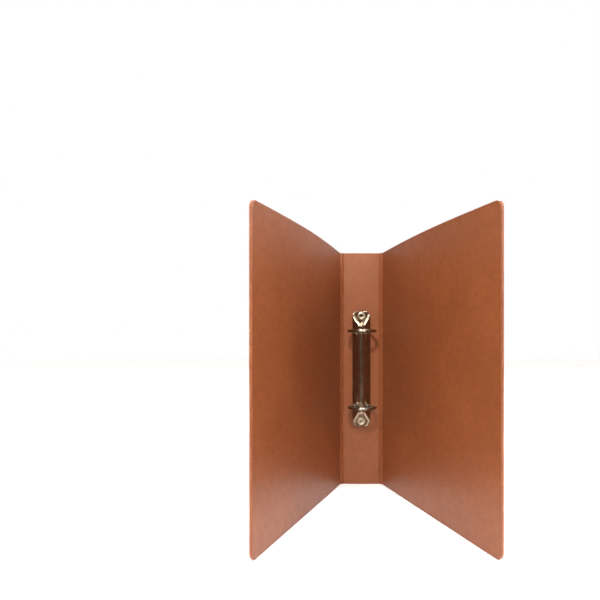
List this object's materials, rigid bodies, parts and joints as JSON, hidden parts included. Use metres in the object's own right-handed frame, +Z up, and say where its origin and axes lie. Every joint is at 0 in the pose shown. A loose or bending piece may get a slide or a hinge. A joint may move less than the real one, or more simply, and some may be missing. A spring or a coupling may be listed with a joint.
{
  "type": "two-ring binder",
  "caption": "Leather-wrapped ring binder standing open, with a lined inside and a riveted ring mechanism on the spine.",
  "frame": {"origin": "middle of the standing binder's bounding box, on the plane its bottom edges stand on", "axes": "+Z up the spine and the covers' height, -Y the way the open inside faces, +X from the front cover to the back cover"},
  "size_m": [0.175, 0.1931, 0.25],
  "materials": {
    "wrap_leather": "tan-orange grained leather, mottled, semi-gloss on the grain",
    "liner_leather": "smooth red-brown leather lining, satin",
    "board": "grey-brown binder's board, matt",
    "dark_nickel": "bright nickel plate, polished",
    "bright_nickel": "bright nickel plate, polished",
    "blade_steel": "zinc-bright spring steel, satin"
  },
  "bodies": {
    "spine": {"spine_board": "board", "spine_wrap": "wrap_leather", "spine_liner": "liner_leather", "housing": "dark_nickel", "upper_eyelet": "bright_nickel", "lower_eyelet": "bright_nickel", "upper_rivet_cap": "bright_nickel", "lower_rivet_cap": "bright_nickel"},
    "front_hinge": {"front_hinge_wrap": "wrap_leather", "front_hinge_liner": "liner_leather"},
    "front_cover": {"front_board": "board", "front_wrap": "wrap_leather", "front_liner": "liner_leather"},
    "back_hinge": {"back_hinge_wrap": "wrap_leather", "back_hinge_liner": "liner_leather"},
    "back_cover": {"back_board": "board", "back_wrap": "wrap_leather", "back_liner": "liner_leather"},
    "left_half": {"left_blade": "blade_steel", "upper_left_half_ring": "bright_nickel", "lower_left_half_ring": "bright_nickel"},
    "right_half": {"right_blade": "blade_steel", "upper_right_half_ring": "bright_nickel", "lower_right_half_ring": "bright_nickel"}
  },
  "joints": [
    {"name": "front_cover_fold", "type": "hinge", "parent": "front_hinge", "child": "front_cover", "pos_m": [-0.02378, 0.09044, 0.125], "axis": [0, 0, 1], "range_deg": [-80.75, 9.25]},
    {"name": "front_hinge_fold", "type": "hinge", "parent": "spine", "child": "front_hinge", "pos_m": [-0.0198, 0.0933, 0.125], "axis": [0, 0, 1], "range_deg": [-80.75, 9.25]},
    {"name": "back_cover_fold", "type": "hinge", "parent": "back_hinge", "child": "back_cover", "pos_m": [0.02378, 0.09044, 0.125], "axis": [0, 0, -1], "range_deg": [-80.75, 9.25]},
    {"name": "back_hinge_fold", "type": "hinge", "parent": "spine", "child": "back_hinge", "pos_m": [0.0198, 0.0933, 0.125], "axis": [0, 0, -1], "range_deg": [-80.75, 9.25]},
    {"name": "left_ring_open", "type": "hinge", "parent": "spine", "child": "left_half", "pos_m": [-0.0083, 0.0898, 0.125], "axis": [0, 0, -1], "range_deg": [0, 15]},
    {"name": "right_ring_open", "type": "hinge", "parent": "spine", "child": "right_half", "pos_m": [0.0083, 0.0898, 0.125], "axis": [0, 0, 1], "range_deg": [0, 15]}
  ],
  "couplings": [
    {"joint": "front_hinge_fold", "follows": "front_cover_fold", "ratio": 1},
    {"joint": "back_hinge_fold", "follows": "back_cover_fold", "ratio": 1},
    {"joint": "right_ring_open", "follows": "left_ring_open", "ratio": 1}
  ]
}
